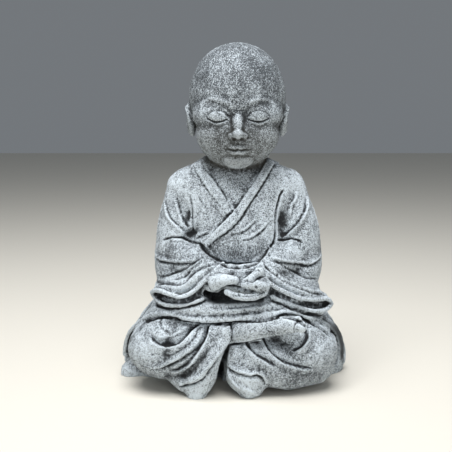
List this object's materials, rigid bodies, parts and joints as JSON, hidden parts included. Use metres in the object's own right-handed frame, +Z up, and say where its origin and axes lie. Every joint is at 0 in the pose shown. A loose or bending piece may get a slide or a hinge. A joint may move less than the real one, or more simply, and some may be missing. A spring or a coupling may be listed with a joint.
{
  "type": "garden statue",
  "caption": "Seated child monk garden statue in grey cast stone: legs crossed, hands resting in the lap, draped robe, flat underside.",
  "frame": {"origin": "middle of the flat underside that the statue stands on", "axes": "+Z up to the crown of the head, the figure looks along -Y, +X to the right of a person who faces it"},
  "size_m": [0.2476, 0.1738, 0.36],
  "materials": {
    "cast_stone": "matt grey cement with sand, dark in the hollows and rubbed pale on the high parts"
  },
  "bodies": {
    "root": {"monk_statue": "cast_stone"}
  },
  "joints": []
}
